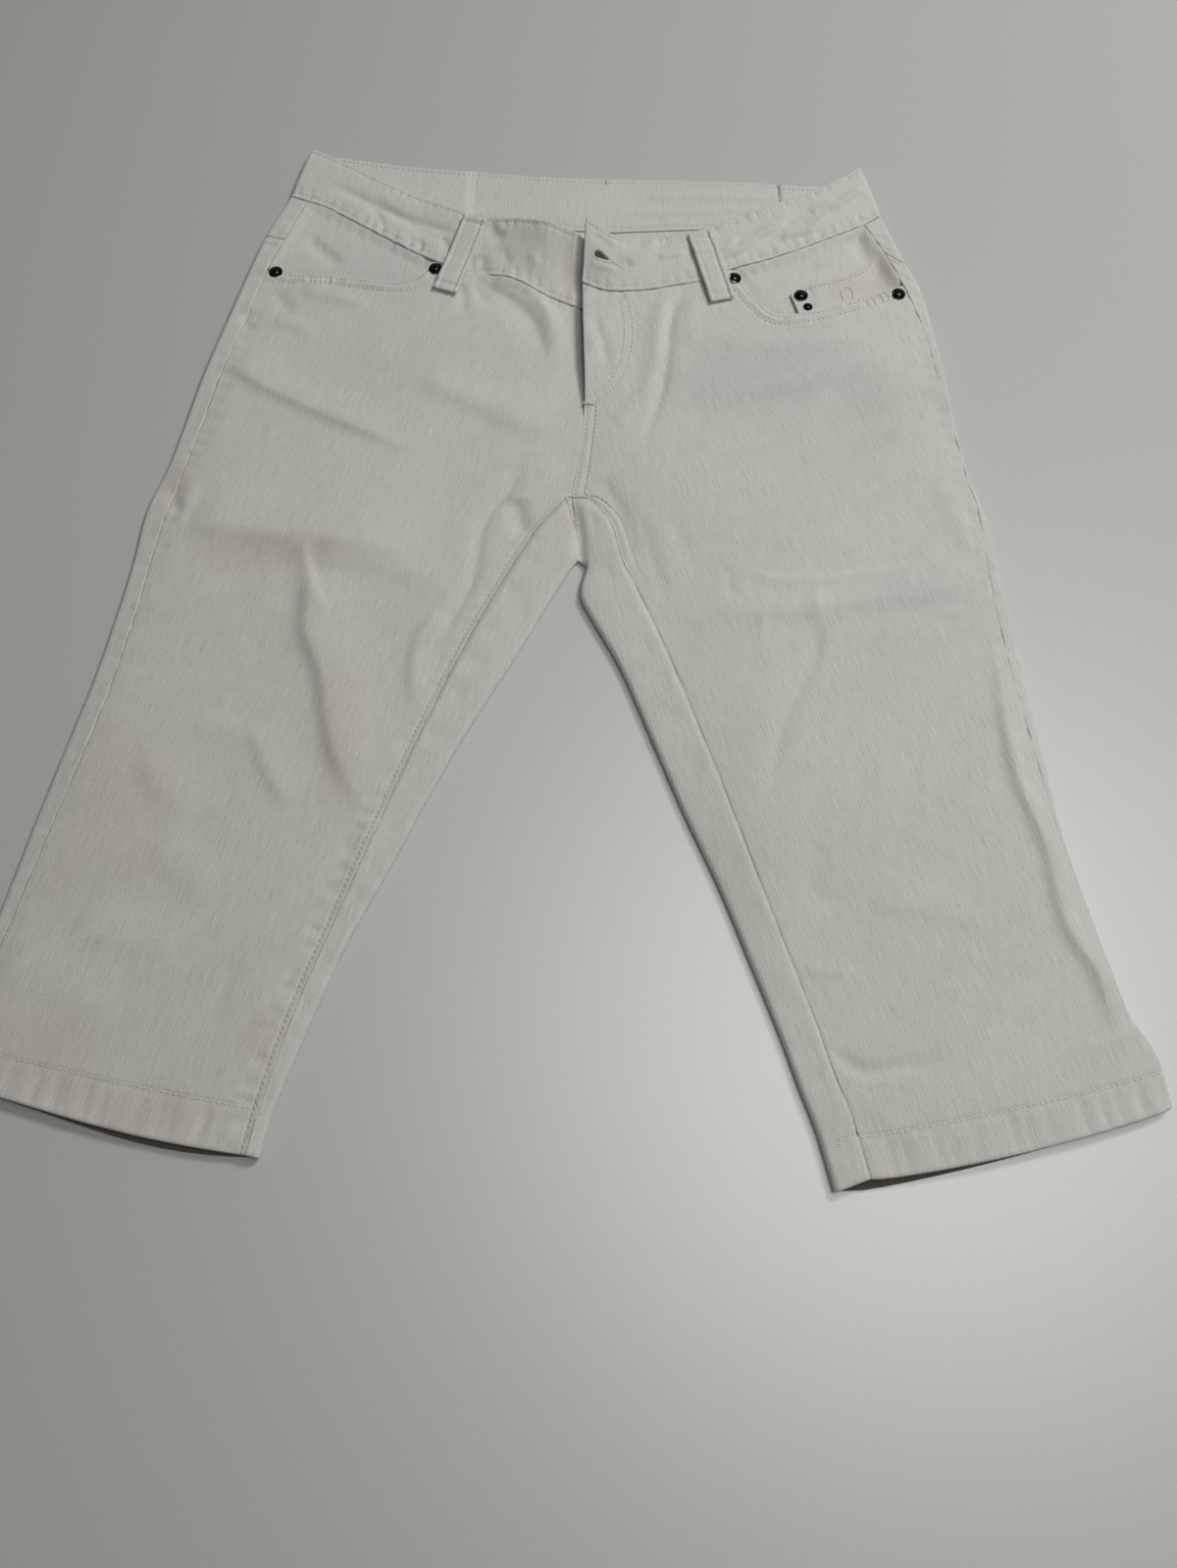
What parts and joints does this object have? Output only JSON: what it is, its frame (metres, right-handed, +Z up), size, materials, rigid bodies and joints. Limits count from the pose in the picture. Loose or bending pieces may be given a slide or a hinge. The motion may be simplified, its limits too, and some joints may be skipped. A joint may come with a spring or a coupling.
{
  "type": "capri pants",
  "caption": "Women's capri pants in off-white stretch twill, laid flat on their back with the waist undone.",
  "frame": {"origin": "middle of the garment's box, on the surface that it lies on", "axes": "+Y towards the waist, +Z up from the surface, +X towards the wearer's left"},
  "size_m": [0.6577, 0.7125, 0.0267],
  "materials": {
    "twill": "off-white stretch twill denim with lengthwise slubs",
    "zip_tape": "woven tape",
    "dark_metal": "black nickel, polished"
  },
  "bodies": {
    "root": {"leg_front_right": "twill", "leg_front_left": "twill", "leg_back_right": "twill", "leg_back_left": "twill", "yoke_right": "twill", "yoke_left": "twill", "waistband_front_right": "twill", "waistband_front_left": "twill", "waistband_back": "twill", "fly_facing": "twill", "fly_shield": "twill", "pocket_facing_right": "twill", "pocket_facing_left": "twill", "coin_pocket": "twill", "belt_loop_right": "twill", "belt_loop_left": "twill", "zip": "zip_tape", "rivet_right_side": "dark_metal", "rivet_right_front": "dark_metal", "rivet_left_front": "dark_metal", "rivet_left_side": "dark_metal", "rivet_coin": "dark_metal", "rivet_coin_lower": "dark_metal", "waist_button": "dark_metal"}
  },
  "joints": []
}
